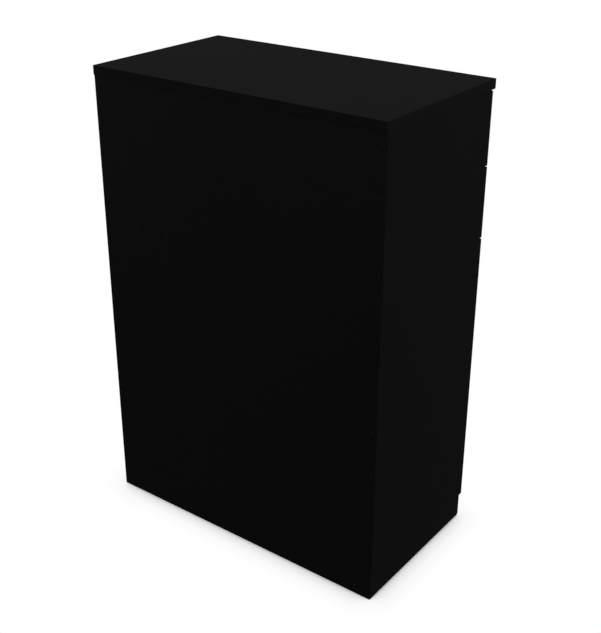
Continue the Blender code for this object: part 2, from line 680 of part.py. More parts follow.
def add_door(side_name, side, materials):
    """A door with two cup recesses, its hinges and an upright handle near its free edge."""
    door = add_pivot(side_name + "_door_pivot", (*hinge_place(side, *CUP_PIVOT), FRONTS_BOTTOM))
    links = add_pivot(side_name + "_links_pivot", (*hinge_place(side, *ARM_PIVOT), FRONTS_BOTTOM))
    near = side * REVEAL / 2
    far = side * FRONTS_HALF_WIDTH
    panel = add_board(side_name + "_door", (min(near, far), FACE_Y, FRONTS_BOTTOM),
                      (max(near, far), FRONT_REAR_Y, DOOR_TOP), materials["laminate"], door)
    recesses = []
    for level, z_place in hinge_heights().items():
        x_place, y_place = hinge_place(side, CUP_CENTRE_INWARD, BUMPER_GAP)
        local = Vector((x_place, y_place, z_place)) - door.location
        depth = CUP_DEPTH + FITTING_GAP
        recesses.append(rod_mesh("recess", CUP_RADIUS + FITTING_GAP, -2 * MM, depth, 28, along_y(*local)))
        stem = f"{side_name}_{level}_hinge"
        add_hinge_plate(stem + "_plate", side, z_place, materials)
        add_hinge_arm(stem + "_arm", side, z_place, materials)
        add_hinge_link(stem + "_link", side, z_place, links, materials)
        add_hinge_cup(stem + "_cup", side, z_place, door, materials)
    mesh = joined_mesh(side_name + "_cup_recesses", recesses)
    combine(panel, add_hidden(side_name + "_cup_recesses", mesh, door.location, door), "DIFFERENCE")
    handle_x = side * (REVEAL / 2 + DOOR_HANDLE_INSET)
    add_handle(side_name + "_door_handle", handle_x, DOOR_TOP - DOOR_HANDLE_DROP, True, door, materials)


def main():
    clear_scene()
    materials = make_materials()
    add_carcass(materials)
    add_glides(materials)
    add_shelf(materials)
    add_drawer("lower_drawer", LOWER_REVEAL_CENTRE + REVEAL / 2, materials)
    add_drawer("upper_drawer", LOWER_REVEAL_CENTRE + REVEAL / 2 + DRAWER_PITCH, materials)
    for side_name, side in SIDES.items():
        add_door(side_name, side, materials)


main()
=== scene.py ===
"""Looks of a matt black storage cabinet: boards with edge bands, fittings, materials and light.

Lengths are in metres.  The front faces -Y and Z is up.  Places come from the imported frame.
"""
import json
from math import cos, pi, radians, sin

import bmesh
import bpy
from mathutils import Matrix, Vector


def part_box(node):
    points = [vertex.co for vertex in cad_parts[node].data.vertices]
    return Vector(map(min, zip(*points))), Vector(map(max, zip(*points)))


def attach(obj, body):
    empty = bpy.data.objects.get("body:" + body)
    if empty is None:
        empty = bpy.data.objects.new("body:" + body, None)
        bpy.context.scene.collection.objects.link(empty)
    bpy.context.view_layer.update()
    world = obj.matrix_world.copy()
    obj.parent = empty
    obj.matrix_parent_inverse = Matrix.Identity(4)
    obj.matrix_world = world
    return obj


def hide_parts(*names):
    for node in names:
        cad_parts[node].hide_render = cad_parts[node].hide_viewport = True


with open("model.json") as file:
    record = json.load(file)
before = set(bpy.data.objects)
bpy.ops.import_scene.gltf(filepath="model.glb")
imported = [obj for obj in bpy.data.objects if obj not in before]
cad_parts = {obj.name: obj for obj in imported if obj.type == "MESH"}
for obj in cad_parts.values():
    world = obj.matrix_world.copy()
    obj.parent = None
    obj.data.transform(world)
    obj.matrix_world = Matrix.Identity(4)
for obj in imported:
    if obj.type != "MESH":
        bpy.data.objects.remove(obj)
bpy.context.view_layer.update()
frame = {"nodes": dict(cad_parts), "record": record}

MM = 0.001
SIDES = {"left": -1, "right": 1}
DRAWERS = ("upper_drawer", "lower_drawer")
LEVELS = ("upper", "lower")

# Record
BODIES = frame["record"]["behaviour"]["bodies"]
BODY_OF = {node: body for body, nodes in BODIES.items() for node in nodes}
SLOT_OF = {entry["node"]: entry["material_slot"] for entry in frame["record"]["subparts"]}

# Reference places
TOP_LOW, TOP_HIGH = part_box("top_panel")
LEFT_LOW, LEFT_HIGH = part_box("left_side_panel")
INNER_HALF_WIDTH = -LEFT_HIGH.x
CARCASS_FRONT = LEFT_LOW.y
CARCASS_REAR = LEFT_HIGH.y
BACK_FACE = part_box("back_panel")[1].y

# Boards.  A face counts as wide, or as facing the rear, by this part of its normal along an axis; narrow
# faces that face the rear get the darker band, a painted shade.
EDGE_RADIUS = 0.8 * MM
THIN_EDGE_RADIUS = 0.5 * MM
BASE_EDGE_RADIUS = 0.2 * MM
EDGE_SEGMENTS = 3
WIDE_FACE = 0.999
REAR_SHADE_FACING = 0.9
BAND_ROUGHNESS_SPREAD = 0.04

# Shelf pin holes and hinge cup recesses
PIN_HOLE_ROWS = (-2, -1, 0, 1, 2)
PIN_HOLE_PITCH = 32 * MM
PIN_HOLE_RADIUS = 2.5 * MM
PIN_HOLE_DEPTH = 10 * MM
CUP_RECESS_DEPTH = 10.3 * MM
CUP_RIM_OVERLAP = 1.2 * MM

# Grooves for the drawer bases
GROOVE_DEPTH = 5 * MM
GROOVE_OVERRUN = 5 * MM
BASE_EDGE_PLAY = 0.5 * MM
BASE_FACE_PLAY = 0.3 * MM

# Handles
HANDLE_BAR = 8 * MM
HANDLE_CORNER = 9 * MM
HANDLE_INNER_CORNER = 3 * MM
HANDLE_CORNER_STEPS = 10
HANDLE_INNER_STEPS = 5
HANDLE_EDGE_RADIUS = 1.4 * MM
SHARP_EDGE = radians(60)
ON_FRONT = 0.1 * MM

# Smooth shading of small fittings stops at this angle.
FITTING_SHARP_ANGLE = radians(35)

# Screws, nails and bumpers: radius and height of the visible dome
DRAWER_SCREW_SIZE = (3.4 * MM, 1.6 * MM)
HINGE_SCREW_SIZE = (3.2 * MM, 0.9 * MM)
HANDLE_SCREW_SIZE = (3.9 * MM, 2.2 * MM)
SLIDE_SCREW_SIZE = (3.0 * MM, 0.5 * MM)
CUP_SCREW_SIZE = (3.4 * MM, 0.5 * MM)
NAIL_SIZE = (2.2 * MM, 0.45 * MM)
DRAWER_BUMPER_SIZE = (4.0 * MM, 0.9 * MM)
DOOR_BUMPER_SIZE = (2.6 * MM, 0.9 * MM)
DOME_RIM_SHARE = 0.3
DOME_STEPS = 5

# Cross recesses: reach and depth as shares of a screw's radius and height, and half an arm's
# width as a share of the reach
CROSS_REACH_SHARE = 0.55
CROSS_DEPTH_SHARE = 0.7
CROSS_ARM_SHARE = 0.24

# Cams
CAM_RADIUS = 7.5 * MM
CAM_HEIGHT = 0.45 * MM
CAM_EDGE_HEIGHT = 0.35 * MM
CAM_DISH_HEIGHT = 0.2 * MM
CAM_RIM_WIDTH = 0.9 * MM
CAM_DISH_INSET = 1.1 * MM
CAM_HUB_RADIUS = 3.4 * MM
CAM_HUB_TOP_RADIUS = 3.2 * MM
CAM_CROSS_REACH = 2.8 * MM
CAM_CROSS_DEPTH = 0.3 * MM
CAM_INSET = 34 * MM
CAM_SETBACK = 60 * MM
DRAWER_CAM_HEIGHTS = (32 * MM, 96 * MM)

# Angles, in radians, at which the crosses of the screws and cams happen to stand
CROSS_TURNS = {
    "panel_cam": 0.4,
    "side_cam": 0.3,
    "drawer_cam": 0.5,
    "drawer_handle_screw": 0.2,
    "door_handle_screw": 0.3,
    "slide_screw": 0.7,
    "drawer_screw": 0.2,
    "cup_screw": 0.6,
    "plate_screw": 0.2,
    "arm_screw": 0.9,
}

# Places of the nails and bumpers
NAIL_EDGE_INSET = 7.5 * MM
NAIL_END_INSET = 25 * MM
NAIL_ROW_INSET = 100 * MM
NAIL_PITCH = 105 * MM
DRAWER_BUMPER_OVERLAP = 7 * MM
DRAWER_BUMPER_INSET = 12 * MM
DOOR_BUMPER_ASIDE = 14 * MM
DOOR_BUMPER_LIFT = 3 * MM

# Places of the slide screws, along each member from its front end
CABINET_SLIDE_WEB = 1.5 * MM
CABINET_SCREW_LIFT = 9 * MM
CABINET_SCREW_PLACES = (37 * MM, 133 * MM, 340 * MM)
DRAWER_SLIDE_WALL = 1.2 * MM
DRAWER_SCREW_PLACES = (24 * MM, 150 * MM, 310 * MM)

# Places of the hinge screws
CUP_SCREW_REACH = 19 * MM
PLATE_SCREW_REACH = 12 * MM
PLATE_THICKNESS = 1.5 * MM
PLATE_SCREW_SETBACK = 41 * MM
ARM_WEB_DEPTH = 2.1 * MM
ARM_SCREW_SETBACKS = (28 * MM, 52 * MM)

# Floor.  Near what stands on it, its tone follows how open the spot is, as a painted contact shadow:
# (openness, tone).
FLOOR_RADIUS = 60.0
CONTACT_SHADOW_REACH = 0.08
CONTACT_SHADOW_SAMPLES = 16
CONTACT_SHADOW_TONES = ((0.45, 0.02), (0.54, 0.74), (0.75, 0.93))

# World and lights
WORLD_COLOUR = (0.95, 0.97, 1.0, 1.0)
WORLD_STRENGTH = 0.059
WHITE = (1.0, 1.0, 1.0, 1.0)
OVERHEAD_STRENGTH = 0.93
OVERHEAD_ANGLE = 5.0
LIGHT_TARGET = (0, 0, 0.6)
SOFTBOXES = {
    "side_box": {"place": (-4.2, -0.9, 1.9), "size": (2.4, 2.0), "power": 20.4},
    "back_box": {"place": (0.9, 4.4, 1.9), "size": (2.4, 2.0), "power": 15.7},
    "front_box": {"place": (1.5, -4.4, 0.6), "size": (3.0, 1.0), "power": 130},
    "front_left_box": {"place": (-1.7, -4.4, 0.6), "size": (1.6, 1.0), "power": 50},
    "far_box": {"place": (4.2, -0.6, 0.6), "size": (2.4, 1.0), "power": 60},
}
METAL_SUN_STRENGTH = 1.2
METAL_SUN_ANGLE = 70.0
METAL_SUNS = {
    "metal_sun_front": (0.1, 1.0, -0.25),
    "metal_sun_left": (1.0, 0.7, -0.2),
    "metal_sun_right": (-1.0, 0.7, -0.2),
    "metal_sun_above": (0.0, 0.2, -1.0),
}

# Camera; its distance and aim are in cabinet heights
VIEW_AZIMUTH = radians(217.03)
VIEW_ELEVATION = radians(25.039)
CAMERA_DISTANCE = 2.29765
AIM_ASIDE = 0.00705
AIM_HEIGHT = 0.49920
SENSOR = 36.0
FOCAL_LENGTH = 60.69
SHIFT = (0.0115, -0.0205)


# ---------------------------------------------------------------- node helpers

class Surface:
    """A Principled material with a few short calls for its procedural nodes."""

    def __init__(self, name, roughness, metallic=0.0, specular=0.5):
        self.material = bpy.data.materials.new(name)
        self.material.use_nodes = True
        self.tree = self.material.node_tree
        self.shader = self.tree.nodes["Principled BSDF"]
        self.shader.inputs["Roughness"].default_value = roughness
        self.shader.inputs["Metallic"].default_value = metallic
        self.shader.inputs["Specular IOR Level"].default_value = specular
        self.place = self.node("ShaderNodeTexCoord").outputs["Object"]
        self.bump_normal = None

    def node(self, kind):
        return self.tree.nodes.new(kind)

    def link(self, start, end):
        self.tree.links.new(start, end)

    def stretched(self, scale):
        """Object coordinates scaled along each axis, for grain and drawn lines."""
        mapping = self.node("ShaderNodeMapping")
        mapping.inputs["Scale"].default_value = scale
        self.link(self.place, mapping.inputs["Vector"])
        return mapping.outputs["Vector"]

    def noise(self, scale, detail=2.0, roughness=0.5, place=None):
        noise = self.node("ShaderNodeTexNoise")
        noise.inputs["Scale"].default_value = scale
        noise.inputs["Detail"].default_value = detail
        noise.inputs["Roughness"].default_value = roughness
        self.link(place or self.place, noise.inputs["Vector"])
        return noise.outputs["Fac"]

    def cells(self, scale):
        cells = self.node("ShaderNodeTexVoronoi")
        cells.inputs["Scale"].default_value = scale
        self.link(self.place, cells.inputs["Vector"])
        return cells.outputs["Distance"]

    def spread(self, pattern, low, high, start=0.3, end=0.7):
        """Carry a pattern's values from start..end over to low..high."""
        spread = self.node("ShaderNodeMapRange")
        spread.inputs["From Min"].default_value = start
        spread.inputs["From Max"].default_value = end
        spread.inputs["To Min"].default_value = low
        spread.inputs["To Max"].default_value = high
        self.link(pattern, spread.inputs["Value"])
        return spread.outputs["Result"]

    def blend(self, pattern, first, second, start=0.3, end=0.7, most=1.0):
        """Colour from first towards second as a pattern rises, up to a greatest share of the
        second; first may be a linked colour."""
        mix = self.node("ShaderNodeMix")
        mix.data_type = "RGBA"
        self.link(self.spread(pattern, 0.0, most, start, end), mix.inputs["Factor"])
        if isinstance(first, bpy.types.NodeSocket):
            self.link(first, mix.inputs["A"])
        else:
            mix.inputs["A"].default_value = (*first, 1.0)
        mix.inputs["B"].default_value = (*second, 1.0)
        return mix.outputs["Result"]

    def colour(self, value):
        self.link(value, self.shader.inputs["Base Color"])

    def rough(self, pattern, low, high):
        """Let the roughness follow a pattern."""
        self.link(self.spread(pattern, low, high), self.shader.inputs["Roughness"])

    def bump(self, height, strength, distance):
        """Add one more layer of relief to the surface."""
        bump = self.node("ShaderNodeBump")
        bump.inputs["Strength"].default_value = strength
        bump.inputs["Distance"].default_value = distance
        self.link(height, bump.inputs["Height"])
        if self.bump_normal:
            self.link(self.bump_normal, bump.inputs["Normal"])
        self.bump_normal = bump.outputs["Normal"]
        self.link(self.bump_normal, self.shader.inputs["Normal"])


# ---------------------------------------------------------------- materials

def laminate_material():
    """Matt black melamine: a fine pearl relief, and a faint cloudy tone."""
    surface = Surface("black_laminate", roughness=0.55, specular=0.28)
    cloud = surface.noise(2.3, detail=4.0, roughness=0.55)
    surface.colour(surface.blend(cloud, (0.0078, 0.0078, 0.0085), (0.0096, 0.0095, 0.0103)))
    surface.rough(surface.noise(38.0, detail=6.0, roughness=0.65), 0.53, 0.57)
    surface.bump(surface.cells(620.0), strength=0.10, distance=0.12 * MM)
    surface.bump(surface.noise(1500.0), strength=0.12, distance=0.06 * MM)
    return surface.material


def band_material(name, roughness, specular, dark, light):
    """Plastic edge band: matt like the faces, but plainer."""
    surface = Surface(name, roughness=roughness, specular=specular)
    surface.colour(surface.blend(surface.noise(5.0, detail=3.0), dark, light))
    surface.rough(surface.noise(60.0, detail=5.0, roughness=0.6),
                  roughness - BAND_ROUGHNESS_SPREAD, roughness + BAND_ROUGHNESS_SPREAD)
    surface.bump(surface.noise(700.0, detail=3.0), strength=0.10, distance=0.06 * MM)
    return surface.material


def hardboard_material():
    """Black lacquered hardboard: a smooth coat over faint pressed fibres."""
    surface = Surface("black_hardboard", roughness=0.6, specular=0.24)
    cloud = surface.noise(1.7, detail=5.0, roughness=0.6)
    surface.colour(surface.blend(cloud, (0.0076, 0.0076, 0.0084), (0.0094, 0.0094, 0.0101)))
    surface.rough(surface.noise(25.0, detail=7.0, roughness=0.7), 0.55, 0.66)
    fibres = surface.noise(260.0, detail=5.0, roughness=0.7, place=surface.stretched((1.0, 1.0, 0.35)))
    surface.bump(fibres, strength=0.12, distance=0.12 * MM)
    return surface.material


def drawer_board_material():
    """Dark grey foil with a woven print, on the sides and back of the drawers."""
    surface = Surface("drawer_foil", roughness=0.6, specular=0.35)
    warp = surface.noise(240.0, place=surface.stretched((1.0, 0.05, 1.0)))
    weft = surface.noise(240.0, place=surface.stretched((1.0, 1.0, 0.05)))
    print_colour = surface.blend(warp, (0.026, 0.026, 0.028), (0.044, 0.044, 0.047))
    surface.colour(surface.blend(weft, print_colour, (0.052, 0.052, 0.055), most=0.5))
    surface.rough(surface.noise(90.0, detail=4.0), 0.52, 0.66)
    surface.bump(warp, strength=0.15, distance=0.1 * MM)
    surface.bump(weft, strength=0.15, distance=0.1 * MM)
    return surface.material


def drawer_base_material():
    """Dark grey lacquered hardboard base, speckled by its fibres."""
    surface = Surface("drawer_base", roughness=0.62, specular=0.35)
    speckle = surface.noise(420.0, detail=4.0, roughness=0.75)
    surface.colour(surface.blend(speckle, (0.030, 0.030, 0.032), (0.056, 0.055, 0.056), 0.35, 0.65))
    surface.rough(surface.noise(30.0, detail=6.0), 0.55, 0.68)
    surface.bump(speckle, strength=0.18, distance=0.12 * MM)
    return surface.material


def chipboard_material():
    """Bare particleboard, seen inside holes and grooves."""
    surface = Surface("chipboard", roughness=0.85, specular=0.3)
    chips = surface.cells(900.0)
    surface.colour(surface.blend(chips, (0.30, 0.19, 0.10), (0.12, 0.07, 0.035), start=0.1))
    surface.rough(surface.noise(300.0, detail=3.0), 0.78, 0.92)
    surface.bump(chips, strength=0.5, distance=0.2 * MM)
    return surface.material


def powder_coat_material():
    """Fine-textured black powder coat on the handles."""
    surface = Surface("powder_coat", roughness=0.42)
    surface.colour(surface.blend(surface.noise(900.0), (0.010, 0.010, 0.011), (0.019, 0.019, 0.020)))
    surface.rough(surface.noise(120.0, detail=4.0), 0.36, 0.48)
    surface.bump(surface.cells(1100.0), strength=0.30, distance=0.12 * MM)
    return surface.material


def zinc_material():
    """Bright zinc plate on rolled steel: drawn lines along Y and a cloudy bloom."""
    surface = Surface("zinc_plate", roughness=0.32, metallic=1.0)
    lines = surface.noise(900.0, detail=3.0, roughness=0.6, place=surface.stretched((1.0, 0.012, 1.0)))
    bloom = surface.noise(26.0, detail=5.0, roughness=0.65)
    drawn = surface.blend(lines, (0.50, 0.51, 0.53), (0.66, 0.67, 0.69))
    surface.colour(surface.blend(bloom, drawn, (0.42, 0.44, 0.48), most=0.45))
    surface.rough(bloom, 0.26, 0.42)
    surface.bump(lines, strength=0.12, distance=0.08 * MM)
    return surface.material


def nickel_material():
    """Nickel plate on pressed steel, with fine polishing marks."""
    surface = Surface("nickel_plate", roughness=0.24, metallic=1.0)
    marks = surface.noise(700.0, detail=4.0, roughness=0.6, place=surface.stretched((1.0, 1.0, 0.08)))
    surface.colour(surface.blend(marks, (0.58, 0.56, 0.52), (0.72, 0.70, 0.66)))
    surface.rough(surface.noise(60.0, detail=5.0), 0.18, 0.32)
    surface.bump(marks, strength=0.10, distance=0.06 * MM)
    return surface.material


def cast_zinc_material():
    """Grey die-cast zinc of the cam fittings."""
    surface = Surface("cast_zinc", roughness=0.45, metallic=0.9)
    tone = surface.noise(500.0, detail=4.0, roughness=0.6)
    surface.colour(surface.blend(tone, (0.26, 0.27, 0.28), (0.40, 0.41, 0.42)))
    surface.rough(surface.noise(200.0, detail=4.0), 0.38, 0.55)
    surface.bump(surface.noise(800.0, detail=3.0), strength=0.25, distance=0.1 * MM)
    return surface.material


def nylon_material():
    """Black moulded nylon."""
    surface = Surface("black_nylon", roughness=0.5, specular=0.45)
    tone = surface.noise(180.0, detail=3.0)
    surface.colour(surface.blend(tone, (0.013, 0.013, 0.013), (0.022, 0.022, 0.022)))
    surface.rough(surface.noise(90.0, detail=4.0), 0.44, 0.58)
    surface.bump(surface.noise(1200.0), strength=0.2, distance=0.06 * MM)
    return surface.material


def bumper_material():
    """Soft smoke-grey bumper dots."""
    surface = Surface("bumper", roughness=0.3)
    tone = surface.noise(300.0, detail=3.0)
    surface.colour(surface.blend(tone, (0.16, 0.16, 0.165), (0.22, 0.22, 0.225)))
    surface.rough(surface.noise(150.0, detail=3.0), 0.24, 0.40)
    return surface.material


LAMINATE = laminate_material()
EDGE_BAND = band_material("edge_band", 0.53, 0.30, (0.0078, 0.0078, 0.0084), (0.0098, 0.0097, 0.0103))
# The rear band is the edge band painted darker and less shiny: painted shade on the narrow faces that face
# the rear.
REAR_BAND_PAINTED_SHADE = band_material("rear_band_painted_shade", 0.58, 0.21, (0.0066, 0.0066, 0.0072), (0.0084, 0.0083, 0.0089))
HARDBOARD = hardboard_material()
DRAWER_BOARD = drawer_board_material()
DRAWER_BASE = drawer_base_material()
CHIPBOARD = chipboard_material()
POWDER_COAT = powder_coat_material()
ZINC = zinc_material()
NICKEL = nickel_material()
CAST_ZINC = cast_zinc_material()
NYLON = nylon_material()
BUMPER = bumper_material()

BOARD_MATERIALS = [LAMINATE, EDGE_BAND, REAR_BAND_PAINTED_SHADE]
NODE_MATERIALS = {
    "laminate": LAMINATE,
    "hardboard": HARDBOARD,
    "drawer_board": DRAWER_BOARD,
    "drawer_base": DRAWER_BASE,
    "handle": POWDER_COAT,
    "zinc": ZINC,
    "nickel": NICKEL,
    "plastic": NYLON,
}


# ---------------------------------------------------------------- mesh helpers

def mesh_of(bm, name):
    """Turn a bmesh into a mesh."""
    mesh = bpy.data.meshes.new(name)
    bm.to_mesh(mesh)
    bm.free()
    return mesh


def add_object(name, data):
    """Put an object with this data in the scene."""
    item = bpy.data.objects.new(name, data)
    bpy.context.scene.collection.objects.link(item)
    return item


def new_piece(name, bm, materials, body):
    """Turn a bmesh into a piece that rides on a body and takes the given materials."""
    mesh = mesh_of(bm, name)
    for material in materials:
        mesh.materials.append(material)
    mesh.shade_smooth()
    piece = add_object(name, mesh)
    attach(piece, body)
    return piece


def weigh_normals(piece):
    """Keep wide flat faces flat in shading, and let only the rounded edges turn."""
    weighted = piece.modifiers.new("flat_faces", "WEIGHTED_NORMAL")
    weighted.weight = 100
    weighted.keep_sharp = True


def subtract(item, cutter_mesh, material_mode):
    """Cut a mesh's shape out of an object, and keep the result as the object's own mesh."""
    cutter = add_object("cutter", cutter_mesh)
    boolean = item.modifiers.new("cut", "BOOLEAN")
    boolean.operation = "DIFFERENCE"
    boolean.solver = "EXACT"
    boolean.material_mode = material_mode
    boolean.object = cutter
    depsgraph = bpy.context.evaluated_depsgraph_get()
    mesh = bpy.data.meshes.new_from_object(item.evaluated_get(depsgraph))
    item.modifiers.clear()
    item.data = mesh
    bpy.data.objects.remove(cutter, do_unlink=True)


def cut_away(piece, bm, material):
    """Cut shapes out of a piece; the cut faces take their own material."""
    bmesh.ops.recalc_face_normals(bm, faces=bm.faces)
    mesh = mesh_of(bm, "cutter")
    mesh.materials.append(material)
    subtract(piece, mesh, "TRANSFER")


def plain_box(low, high):
    """A bmesh box between two corners."""
    bm = bmesh.new()
    bmesh.ops.create_cube(bm, size=1.0)
    bmesh.ops.scale(bm, vec=high - low, verts=bm.verts)
    bmesh.ops.translate(bm, vec=(low + high) / 2, verts=bm.verts)
    return bm


def add_cylinder(bm, centre, axis, radius, length, segments=24):
    """A closed cylinder whose middle is at centre."""
    bmesh.ops.create_cone(bm, cap_ends=True, segments=segments, radius1=radius, radius2=radius,
                          depth=length, matrix=facing(centre, axis))


def turned(profile, segments=24):
    """A bmesh turned about Z from (radius, height) points that start and end on the axis."""
    bm = bmesh.new()
    rings = []
    for radius, height in profile:
        count = 1 if radius == 0 else segments
        angles = [2 * pi * step / segments for step in range(count)]
        rings.append([bm.verts.new((radius * cos(a), radius * sin(a), height)) for a in angles])
    for first, second in zip(rings, rings[1:]):
        for step in range(segments):
            after = (step + 1) % segments
            corners = [first[step % len(first)], first[after % len(first)]]
            corners += [second[after % len(second)], second[step % len(second)]]
            bm.faces.new(list(dict.fromkeys(corners)))
    bmesh.ops.recalc_face_normals(bm, faces=bm.faces)
    return bm


def extruded(outline, low, high, place):
    """A bmesh of a flat outline drawn out from low to high; place(a, b, c) gives each corner."""
    bm = bmesh.new()
    face = bm.faces.new([bm.verts.new(place(a, b, low)) for a, b in outline])
    result = bmesh.ops.extrude_face_region(bm, geom=[face])
    raised = [part for part in result["geom"] if isinstance(part, bmesh.types.BMVert)]
    shift = Vector(place(0, 0, high)) - Vector(place(0, 0, low))
    bmesh.ops.translate(bm, vec=shift, verts=raised)
    bmesh.ops.recalc_face_normals(bm, faces=bm.faces)
    return bm


def facing(place, axis, spin=0.0):
    """Matrix that stands a shape made along Z on a place, looking along an axis."""
    turn = Vector((0, 0, 1)).rotation_difference(Vector(axis)).to_matrix().to_4x4()
    return Matrix.Translation(place) @ turn @ Matrix.Rotation(spin, 4, "Z")


def scatter(name, mesh, matrices, material, body):
    """Copies of one small shape as one piece."""
    bm = bmesh.new()
    for matrix in matrices:
        start = len(bm.verts)
        bm.from_mesh(mesh)
        bm.verts.ensure_lookup_table()
        bmesh.ops.transform(bm, matrix=matrix, verts=bm.verts[start:])
    piece = new_piece(name, bm, [material], body)
    piece.data.set_sharp_from_angle(angle=FITTING_SHARP_ANGLE)


# ---------------------------------------------------------------- boards

def rounded_box(low, high, radius, banded):
    """A box with rounded edges; if it is banded, its narrow faces take the second material, or the third,
    darkened as painted shade, where they face the rear."""
    size = high - low
    bm = plain_box(low, high)
    bmesh.ops.bevel(bm, geom=list(bm.edges), offset=radius, segments=EDGE_SEGMENTS, profile=0.5,
                    affect="EDGES", clamp_overlap=False)
    thin = min(range(3), key=lambda axis: size[axis])
    for face in bm.faces:
        if banded and abs(face.normal[thin]) < WIDE_FACE:
            face.material_index = 2 if face.normal.y > REAR_SHADE_FACING else 1
    return bm


def add_board(node, materials, radius=EDGE_RADIUS):
    """The visible board for a CAD board, of one material, or of a face material, a band material and a band
    darkened as painted shade for the rear.
    """
    low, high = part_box(node)
    bm = rounded_box(low, high, radius, len(materials) > 1)
    piece = new_piece(node + "_finished", bm, materials, BODY_OF[node])
    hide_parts(node)
    return piece


def add_side_boards():
    """Side panels with their drilled rows of pin holes, bare chipboard inside."""
    pins = [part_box(f"left_{end}_shelf_pin") for end in ("front", "rear")]
    for side_name, side in SIDES.items():
        piece = add_board(side_name + "_side_panel", BOARD_MATERIALS)
        holes = bmesh.new()
        for low, high in pins:
            centre = (low + high) / 2
            for row in PIN_HOLE_ROWS:
                place = (side * INNER_HALF_WIDTH, centre.y, centre.z + row * PIN_HOLE_PITCH)
                add_cylinder(holes, place, (1, 0, 0), PIN_HOLE_RADIUS, 2 * PIN_HOLE_DEPTH)
        cut_away(piece, holes, CHIPBOARD)
        weigh_normals(piece)


def add_doors():
    """Doors with the round recesses that the hinge cups sit in."""
    for side_name in SIDES:
        piece = add_board(side_name + "_door", BOARD_MATERIALS)
        inner_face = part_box(side_name + "_door")[1].y
        recesses = bmesh.new()
        for level in LEVELS:
            low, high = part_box(f"{side_name}_{level}_hinge_cup")
            place = ((low.x + high.x) / 2, inner_face, (low.z + high.z) / 2)
            radius = (high.x - low.x) / 2 - CUP_RIM_OVERLAP
            add_cylinder(recesses, place, (0, 1, 0), radius, 2 * CUP_RECESS_DEPTH, segments=48)
        cut_away(piece, recesses, CHIPBOARD)
        weigh_normals(piece)


def add_plain_boards():
    """Boards with nothing cut into them."""
    for node in ("top_panel", "bottom_panel", "middle_panel", "adjustable_shelf", "plinth_board"):
        weigh_normals(add_board(node, BOARD_MATERIALS))
    weigh_normals(add_board("back_panel", [HARDBOARD], THIN_EDGE_RADIUS))


# ---------------------------------------------------------------- drawers

def add_drawer_fronts():
    """Drawer fronts, grooved behind for the base."""
    for drawer in DRAWERS:
        piece = add_board(drawer + "_front", BOARD_MATERIALS)
        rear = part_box(drawer + "_front")[1].y
        base_low, base_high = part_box(drawer + "_base")
        low = Vector((base_low.x - BASE_EDGE_PLAY, rear - GROOVE_DEPTH, base_low.z - BASE_FACE_PLAY))
        high = Vector((base_high.x + BASE_EDGE_PLAY, rear + GROOVE_DEPTH, base_high.z + BASE_FACE_PLAY))
        cut_away(piece, plain_box(low, high), CHIPBOARD)
        weigh_normals(piece)


def add_drawer_sides():
    """Drawer sides with the groove that holds the base, and the drawers' backs and bases."""
    for drawer in DRAWERS:
        base_low, base_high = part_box(drawer + "_base")
        for side_name, side in SIDES.items():
            node = f"{drawer}_{side_name}_side"
            piece = add_board(node, [DRAWER_BOARD], THIN_EDGE_RADIUS)
            low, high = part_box(node)
            inner = low.x if side > 0 else high.x
            groove_low = Vector((inner - GROOVE_DEPTH, low.y - GROOVE_OVERRUN, base_low.z - BASE_FACE_PLAY))
            groove_high = Vector((inner + GROOVE_DEPTH, high.y + GROOVE_OVERRUN,
                                  base_high.z + BASE_FACE_PLAY))
            cut_away(piece, plain_box(groove_low, groove_high), CHIPBOARD)
            weigh_normals(piece)
        weigh_normals(add_board(drawer + "_back", [DRAWER_BOARD], THIN_EDGE_RADIUS))
        weigh_normals(add_board(drawer + "_base", [DRAWER_BASE], BASE_EDGE_RADIUS))


# ---------------------------------------------------------------- handles

def arc(centre, radius, start, end, steps):
    """Points on an arc in the plane of an outline."""
    angles = [start + (end - start) * step / steps for step in range(steps + 1)]
    return [(centre[0] + radius * cos(a), centre[1] + radius * sin(a)) for a in angles]


def bridge_outline(half, reach):
    """A bridge handle seen from its edge, rounded at its outer and inner corners."""
    outer = half - HANDLE_CORNER
    inner = half - HANDLE_BAR - HANDLE_INNER_CORNER
    level = reach - HANDLE_BAR - HANDLE_INNER_CORNER
    points = [(-half, 0)]
    points += arc((-outer, reach - HANDLE_CORNER), HANDLE_CORNER, pi, pi / 2, HANDLE_CORNER_STEPS)
    points += arc((outer, reach - HANDLE_CORNER), HANDLE_CORNER, pi / 2, 0, HANDLE_CORNER_STEPS)
    points += [(half, 0), (half - HANDLE_BAR, 0)]
    points += arc((inner, level), HANDLE_INNER_CORNER, 0, pi / 2, HANDLE_INNER_STEPS)
    points += arc((-inner, level), HANDLE_INNER_CORNER, pi / 2, pi, HANDLE_INNER_STEPS)
    points.append((-half + HANDLE_BAR, 0))
    return points


def handle_corners(centre, front_face, upright):
    """Function that carries (along, out, across) of a handle to its place on the front."""
    if upright:
        return lambda along, out, across: (centre.x + across, front_face - out, centre.z + along)
    return lambda along, out, across: (centre.x + along, front_face - out, centre.z + across)


def add_handles():
    """Powder-coated bridge handles with softly rounded edges."""
    nodes = [drawer + "_handle" for drawer in DRAWERS] + [side + "_door_handle" for side in SIDES]
    for node in nodes:
        low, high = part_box(node)
        size = high - low
        half = max(size.x, size.z) / 2
        width = min(size.x, size.z) / 2
        place = handle_corners((low + high) / 2, high.y, size.z > size.x)
        bm = extruded(bridge_outline(half, size.y), -width, width, place)
        rims = [edge for edge in bm.edges if edge.calc_face_angle(0) > SHARP_EDGE
                and any(abs(vert.co.y - high.y) > ON_FRONT for vert in edge.verts)]
        bmesh.ops.bevel(bm, geom=rims, offset=HANDLE_EDGE_RADIUS, segments=4, profile=0.5,
                        affect="EDGES", clamp_overlap=True)
        piece = new_piece(node + "_finished", bm, [POWDER_COAT], BODY_OF[node])
        weigh_normals(piece)
        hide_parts(node)


# ---------------------------------------------------------------- shapes of small fittings

